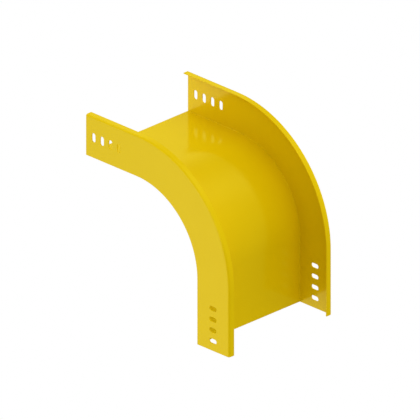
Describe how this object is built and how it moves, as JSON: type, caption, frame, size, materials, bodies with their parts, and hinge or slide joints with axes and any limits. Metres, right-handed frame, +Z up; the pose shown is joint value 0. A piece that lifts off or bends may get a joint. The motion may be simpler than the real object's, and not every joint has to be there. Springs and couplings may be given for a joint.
{
  "type": "raceway outside corner",
  "caption": "Painted sheet-steel cable raceway corner that turns a channel run down through a right angle, with turned-in lips and slotted ends for splicing.",
  "frame": {"origin": "in the level leg's open end, on the middle plane between the walls, at the floor's underside", "axes": "+X along the level leg towards the bend, +Y across the channel, +Z up; the falling leg runs down along -Z"},
  "size_m": [0.283, 0.203, 0.283],
  "materials": {
    "yellow_paint": "semi-gloss powder coat"
  },
  "bodies": {
    "root": {"raceway_corner": "yellow_paint"}
  },
  "joints": []
}
